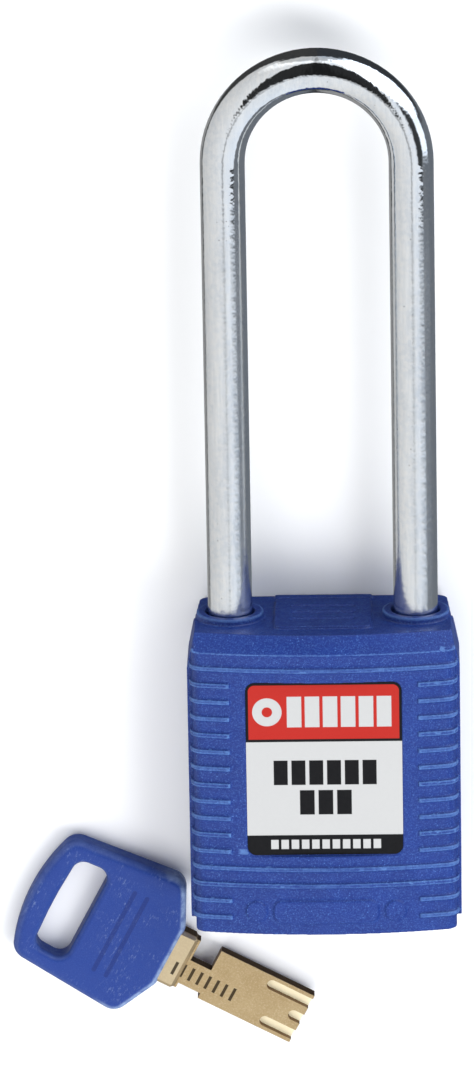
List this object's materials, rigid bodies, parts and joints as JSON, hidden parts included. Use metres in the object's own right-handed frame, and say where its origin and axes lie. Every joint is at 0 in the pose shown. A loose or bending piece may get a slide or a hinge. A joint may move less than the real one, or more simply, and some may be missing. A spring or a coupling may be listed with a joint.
{
  "type": "padlock",
  "caption": "Safety lockout padlock with a ribbed moulded body, a long steel shackle held by balls, a key cylinder, and a flat key lying beside it.",
  "frame": {"origin": "on the back face that the lock lies on, on its centre line, half way up the body", "axes": "+Z out of the front face, +Y from the body towards the shackle's bow, +X to the reader's right"},
  "size_m": [0.0655, 0.1514, 0.0204],
  "materials": {
    "body_nylon": "moulded blue nylon, fine grain",
    "cover_nylon": "moulded blue nylon",
    "label_film": "printed laminated film in red, white and black",
    "shackle_steel": "zinc-plated, drawn",
    "zinc_steel": "zinc-plated",
    "guard_steel": "ground steel",
    "spring_steel": "drawn spring wire",
    "ball_steel": "polished bearing steel",
    "cylinder_brass": "turned brass",
    "slider_brass": "milled brass",
    "seat_plastic": "moulded black",
    "bow_nylon": "moulded blue nylon, scuffed edges",
    "blade_brass": "milled brass, worn edges"
  },
  "bodies": {
    "lock_body": {"body_shell": "body_nylon", "bottom_cover": "cover_nylon", "cover_screws": "zinc_steel", "front_label": "label_film", "cylinder_housing": "cylinder_brass", "guard_plate": "guard_steel", "retaining_pin": "guard_steel", "spring_seat": "seat_plastic", "shackle_spring": "spring_steel", "thrust_washer": "cylinder_brass"},
    "shackle": {"shackle": "shackle_steel"},
    "plug": {"plug": "cylinder_brass", "cam": "guard_steel", "cam_screw": "zinc_steel", "plug_clip": "spring_steel", "slider_spring_1": "spring_steel", "slider_spring_2": "spring_steel", "slider_spring_3": "spring_steel"},
    "slider_1": {"slider_1": "slider_brass"},
    "slider_2": {"slider_2": "slider_brass"},
    "slider_3": {"slider_3": "slider_brass"},
    "heel_ball": {"heel_ball": "ball_steel"},
    "toe_ball": {"toe_ball": "ball_steel"},
    "key": {"key_bow": "bow_nylon", "key_blade": "blade_brass"}
  },
  "joints": [
    {"name": "shackle_lift", "type": "slide", "parent": "lock_body", "child": "shackle", "axis": [0, 1, 0], "range_m": [0, 0.0145], "deforming": ["shackle_spring"]},
    {"name": "plug_turn", "type": "hinge", "parent": "lock_body", "child": "plug", "pos_m": [0, 0, 0.01], "axis": [0, 1, 0], "range_deg": [0, 90]},
    {"name": "heel_ball_in", "type": "slide", "parent": "lock_body", "child": "heel_ball", "axis": [1, 0, 0], "range_m": [0, 0.0032]},
    {"name": "toe_ball_in", "type": "slide", "parent": "lock_body", "child": "toe_ball", "axis": [-1, 0, 0], "range_m": [0, 0.0032]},
    {"name": "slider_2_push", "type": "slide", "parent": "plug", "child": "slider_2", "axis": [0, 1, 0], "range_m": [0, 0.008], "deforming": ["slider_spring_2"]},
    {"name": "slider_1_push", "type": "slide", "parent": "plug", "child": "slider_1", "axis": [0, 1, 0], "range_m": [0, 0.0048], "deforming": ["slider_spring_1"]},
    {"name": "slider_3_push", "type": "slide", "parent": "plug", "child": "slider_3", "axis": [0, 1, 0], "range_m": [0, 0.0032], "deforming": ["slider_spring_3"]},
    {"name": "key_lift", "type": "slide", "parent": "lock_body", "child": "key", "axis": [0, 0, 1], "range_m": [0, 0.05]}
  ],
  "couplings": [
    {"joint": "plug_turn", "follows": "shackle_lift", "rad_per_m": 108.33},
    {"joint": "heel_ball_in", "follows": "shackle_lift", "ratio": 0.22068},
    {"joint": "toe_ball_in", "follows": "shackle_lift", "ratio": 0.22068},
    {"joint": "slider_1_push", "follows": "slider_2_push", "ratio": 0.5875},
    {"joint": "slider_3_push", "follows": "slider_2_push", "ratio": 0.3875}
  ]
}
